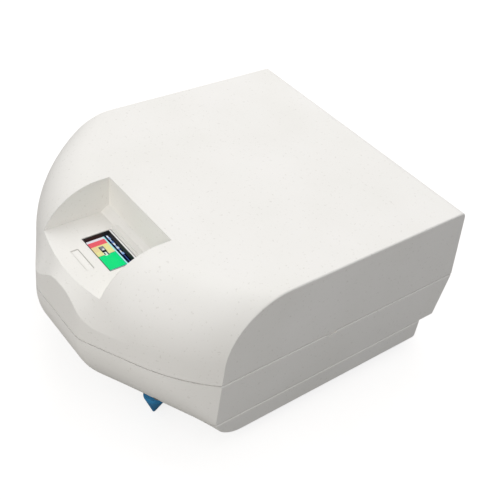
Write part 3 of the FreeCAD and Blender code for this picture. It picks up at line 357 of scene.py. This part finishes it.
def litPanel(name, look, left, rear):
    made, tree, output = newMaterial(name)
    place = addNode(tree, "TexCoord").outputs["Object"]
    picture = toLinear(look["ground"])
    for across, ahead, wide, deep, colour in screenPatches(look):
        # inside a patch both of its own coordinates lie between -1 and 1
        spot = addNode(tree, "Mapping", {"Vector": place, "Scale": (wide / 2 * mm, deep / 2 * mm, 1.0),
                                         "Location": (left + across * mm, rear - ahead * mm, 0.0)},
                       vector_type="TEXTURE")
        axes = addNode(tree, "SeparateXYZ", {"Vector": spot.outputs["Vector"]})
        sides = [addNode(tree, "Math", {0: axes.outputs[axis], 1: 0.0, 2: 1.0}, operation="COMPARE")
                 for axis in ("X", "Y")]
        inside = addNode(tree, "Math", {0: sides[0].outputs["Value"], 1: sides[1].outputs["Value"]},
                         operation="MULTIPLY")
        picture = addNode(tree, "MixRGB", {"Fac": inside.outputs["Value"], "Color1": picture,
                                           "Color2": toLinear(colour)}).outputs["Color"]
    # the dot grid, 0.1 mm in a real panel, is drawn at 0.5 mm as a slight dimming
    grid = addNode(tree, "TexChecker", {"Vector": place, "Scale": 1 / (look["dotPitch"] * mm),
                                        "Color1": toLinear("#FFFFFF"), "Color2": toLinear(look["dotShade"])})
    lit = addNode(tree, "MixRGB", {"Fac": 1.0, "Color1": picture, "Color2": grid.outputs["Color"]},
                  blend_type="MULTIPLY")
    shader = addNode(tree, "BsdfPrincipled", {"Base Color": toLinear(look["glass"]),
                                              "Roughness": look["glassRoughness"],
                                              "Emission Color": lit.outputs["Color"],
                                              "Emission Strength": look["strength"]})
    tree.links.new(shader.outputs["BSDF"], output.inputs["Surface"])
    return made


# the gasket's opening, from the gasket's own box: its flange and walls in mm
gasketInset = {"side": 2.15, "rear": 2.9}
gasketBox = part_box("window_gasket")
screenLeft = gasketBox[0][0] + gasketInset["side"] * mm
screenRear = gasketBox[1][1] - gasketInset["rear"] * mm
finishes["lcdLitPanel"] = litPanel("lcdLitPanel", screenLook, screenLeft, screenRear)
print("finishes made", len(finishes))


# every CAD piece takes its finish by name
finishOf = {
    "absCaseSparkEroded": ["upper_shell", "lower_shell", "base_tray"],
    "absKeySmooth": ["finger_key"],
    "absFrameBlack": ["window_gasket"],
    "absTrimGloss": ["window_trim"],
    "acrylicCastClear": ["display_lens"],
    "lcdLitPanel": ["display_panel"],
    "steelTinnedSheet": ["display_can", "usb_socket"],
    "foamClosedCell": ["display_pad"],
    "polyimideFilmAmber": ["display_flex"],
    "polyimideFilmKey": ["sensor_flex"],
    "sensorCoated": ["sensor_module"],
    "nylonGlassFilled": ["key_switch", "switch_plunger", "buzzer", "cell_holder"],
    "steelSpringStamped": ["switch_dome"],
    "boardSolderMasked": ["front_board", "main_board"],
    "nylonHeaderNatural": ["front_board_sockets", "ribbon_header", "battery_socket"],
    "steelZincPlated": ["front_board_screws", "main_board_screws", "battery_strap_screws",
                        "front_case_screws", "rear_case_screws"],
    "pbtSocketBlack": ["network_socket", "power_inlet"],
    "steelNickelPlated": ["inlet_pin", "coin_cell"],
    "epoxyChipMoulded": ["processor_chip", "memory_chips"],
    "aluminiumSleevedCan": ["capacitors"],
    "pvcRibbonGrey": ["ribbon_cable"],
    "pvcWireRed": ["battery_lead"],
    "pvcBatterySleeve": ["battery_pack"],
    "steelZincStrap": ["battery_strap"],
    "brassKnurled": ["thread_inserts"],
    "siliconeFootBlue": ["foot_front_left", "foot_front_right", "foot_rear_left", "foot_rear_right"],
}
dressed = set()
for finish, names in finishOf.items():
    for name in names:
        for materialSlot in nodes[name].material_slots:
            materialSlot.material = finishes[finish]
        dressed.add(name)
print("pieces without a finish:", sorted(set(nodes) - dressed))


# contacts in the two data sockets: bent spring wires, one mesh a socket

def meshPiece(name, body, finish, build):
    shape = bmesh.new()
    build(shape)
    data = bpy.data.meshes.new(name)
    bmesh.ops.recalc_face_normals(shape, faces=shape.faces)
    shape.to_mesh(data)
    shape.free()
    data.materials.append(finishes[finish])
    piece = bpy.data.objects.new(name, data)
    bpy.context.scene.collection.objects.link(piece)
    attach(piece, body)
    return piece


def flatStrip(shape, path, wide, thick):
    # a strip bent in the plane x = constant, given by its middle line
    rings = []
    for index, point in enumerate(path):
        before = path[max(index - 1, 0)]
        after = path[min(index + 1, len(path) - 1)]
        along = Vector(after) - Vector(before)
        normal = Vector((0.0, -along.z, along.y)).normalized()
        ring = [shape.verts.new(Vector(point) + Vector((side * wide / 2, 0, 0)) + normal * lift * thick / 2)
                for side, lift in ((-1, -1), (1, -1), (1, 1), (-1, 1))]
        rings.append(ring)
    for ring, following in zip(rings, rings[1:]):
        for corner in range(4):
            onward = (corner + 1) % 4
            shape.faces.new((ring[corner], ring[onward], following[onward], following[corner]))
    shape.faces.new(rings[0][::-1])
    shape.faces.new(rings[-1])


# sizes in mm; heights are above the socket's foot, depths behind its face
networkContacts = {"count": 8, "pitch": 1.02, "wide": 0.45, "thick": 0.3, "frontDepth": 2.0,
                   "backDepth": 14.8, "bendRun": 0.4, "low": 4.6, "arch": 2.6, "archPower": 1.5,
                   "frontRise": 0.6, "steps": 10}


def buildNetworkContacts(shape):
    c = networkContacts
    low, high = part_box("network_socket")
    middle, face, foot = (low[0] + high[0]) / 2, high[1], low[2]
    for index in range(c["count"]):
        x = middle + (index - (c["count"] - 1) / 2) * c["pitch"] * mm
        path = [(x, face - c["backDepth"] * mm, foot + c["low"] * mm)]
        start = c["backDepth"] - c["bendRun"]
        for step in range(c["steps"] + 1):
            share = step / c["steps"]
            depth = start - (start - c["frontDepth"]) * share
            rise = c["arch"] * math.sin(share * math.pi) ** c["archPower"] + c["frontRise"] * share
            path.append((x, face - depth * mm, foot + (c["low"] + rise) * mm))
        flatStrip(shape, path, c["wide"] * mm, c["thick"] * mm)


meshPiece("network_contacts", "housing", "bronzeGoldPlated", buildNetworkContacts)

usbContacts = {"count": 4, "pitch": 1.3, "wide": 0.7, "thick": 0.12, "backDepth": 8.8, "reach": 6.6,
               "hump": 0.25, "tongueHalf": 1.6, "gap": 0.05, "steps": 8}


def buildUsbContacts(shape):
    c = usbContacts
    low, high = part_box("usb_socket")
    middle, face = (low[0] + high[0]) / 2, high[1]
    tongueUnder = (low[2] + high[2]) / 2 - c["tongueHalf"] * mm
    for index in range(c["count"]):
        x = middle + (index - (c["count"] - 1) / 2) * c["pitch"] * mm
        path = []
        for step in range(c["steps"] + 1):
            share = step / c["steps"]
            y = face - (c["backDepth"] - c["reach"] * share) * mm
            lift = c["hump"] * math.sin(share * math.pi) * mm
            path.append((x, y, tongueUnder - c["gap"] * mm - lift))
        flatStrip(shape, path, c["wide"] * mm, c["thick"] * mm)


meshPiece("usb_contacts", "housing", "bronzeGoldPlated", buildUsbContacts)
print("contacts made")


# table, world, lamps and camera

stageLook = {"floorColour": "#94928F", "floorMottle": "#979593", "mottlePerMetre": 30.0,
             "floorSize": 4.0, "floorLift": 0.80, "ambient": 0.56, "ambientColour": "#F4F6FA"}


def paleFloor(look):
    made, tree, output = newMaterial("tableMattePaint")
    place = addNode(tree, "TexCoord").outputs["Object"]
    mottle = addNode(tree, "TexNoise", {"Vector": place, "Scale": look["mottlePerMetre"], "Detail": 2.0})
    colour = addNode(tree, "ValToRGB", {"Fac": mottle.outputs["Fac"]},
                     [(0.3, look["floorColour"]), (0.7, look["floorMottle"])])
    matt = addNode(tree, "BsdfDiffuse", {"Color": colour.outputs["Color"]})
    rays = addNode(tree, "LightPath")
    seen = addNode(tree, "Math", {0: rays.outputs["Is Camera Ray"], 1: rays.outputs["Is Transmission Ray"]},
                   operation="MAXIMUM")
    strength = addNode(tree, "Math", {0: seen.outputs["Value"], 1: look["floorLift"]}, operation="MULTIPLY")
    glow = addNode(tree, "Emission", {"Color": toLinear("#FFFFFF"), "Strength": strength.outputs["Value"]})
    both = addNode(tree, "AddShader", {0: matt.outputs["BSDF"], 1: glow.outputs["Emission"]})
    tree.links.new(both.outputs["Shader"], output.inputs["Surface"])
    return made


half = stageLook["floorSize"] / 2
floorMesh = bpy.data.meshes.new("table")
floorCorners = [(-half, -half, 0), (half, -half, 0), (half, half, 0), (-half, half, 0)]
floorMesh.from_pydata(floorCorners, [], [(0, 1, 2, 3)])
floorMesh.materials.append(paleFloor(stageLook))
floor = bpy.data.objects.new("table", floorMesh)
bpy.context.scene.collection.objects.link(floor)

world = bpy.data.worlds.new("studioWhite")
bpy.context.scene.world = world
world.use_nodes = True
sky = world.node_tree
sky.nodes.clear()
rays = addNode(sky, "LightPath")
seen = addNode(sky, "Math", {0: rays.outputs["Is Camera Ray"], 1: rays.outputs["Is Glossy Ray"]},
               operation="MAXIMUM")
seen = addNode(sky, "Math", {0: seen.outputs["Value"], 1: rays.outputs["Is Transmission Ray"]},
               operation="MAXIMUM")
room = addNode(sky, "Background", {"Color": toLinear(stageLook["ambientColour"]),
                                   "Strength": stageLook["ambient"]})
white = addNode(sky, "Background", {"Color": toLinear("#FFFFFF"), "Strength": 1.0})
pick = addNode(sky, "MixShader", {0: seen.outputs["Value"], 1: room.outputs["Background"],
                                  2: white.outputs["Background"]})
skyOutput = addNode(sky, "OutputWorld")
sky.links.new(pick.outputs["Shader"], skyOutput.inputs["Surface"])

# lamps: place and aim in mm, size in mm, power in watts
lamps = {
    "softboxBehind": {"place": (-420, 420, 1080), "aim": (0, 0, 40), "size": 1100, "power": 7.7,
                      "colour": "#FFFDFA"},
    "softboxFront": {"place": (210, -560, 300), "aim": (0, 0, 40), "size": 380, "power": 1.3,
                     "colour": "#FFFCF6"},
}
for name, lamp in lamps.items():
    light = bpy.data.lights.new(name, "AREA")
    light.shape = "SQUARE"
    light.size = lamp["size"] * mm
    light.energy = lamp["power"]
    light.color = toLinear(lamp["colour"])[:3]
    holder = bpy.data.objects.new(name, light)
    holder.location = Vector(lamp["place"]) * mm
    aim = Vector(lamp["aim"]) * mm - holder.location
    holder.rotation_euler = aim.to_track_quat("-Z", "Y").to_euler()
    bpy.context.scene.collection.objects.link(holder)

# camera: distances in mm, angles in degrees
cameraView = {"aim": (9.6, 11.8, 42.4), "azimuth": 46.277, "elevation": 39.553, "roll": 9.58,
              "distance": 439.4, "lens": 63.56}


def placeCamera(view):
    azimuth, elevation, roll = (math.radians(view[k]) for k in ("azimuth", "elevation", "roll"))
    forward = Vector((-math.sin(azimuth) * math.cos(elevation), math.cos(azimuth) * math.cos(elevation),
                      -math.sin(elevation)))
    level = forward.cross(Vector((0, 0, 1))).normalized()
    upright = level.cross(forward)
    right = level * math.cos(roll) + upright * math.sin(roll)
    up = upright * math.cos(roll) - level * math.sin(roll)
    data = bpy.data.cameras.new("camera")
    data.lens = view["lens"]
    data.sensor_width = 36.0
    data.clip_start = 0.01
    camera = bpy.data.objects.new("camera", data)
    turned = Matrix((right, up, -forward)).transposed().to_4x4()
    turned.translation = (Vector(view["aim"]) - forward * view["distance"]) * mm
    camera.matrix_world = turned
    bpy.context.scene.collection.objects.link(camera)
    bpy.context.scene.camera = camera


placeCamera(cameraView)
bpy.context.scene.view_settings.view_transform = "Standard"
print("stage ready")
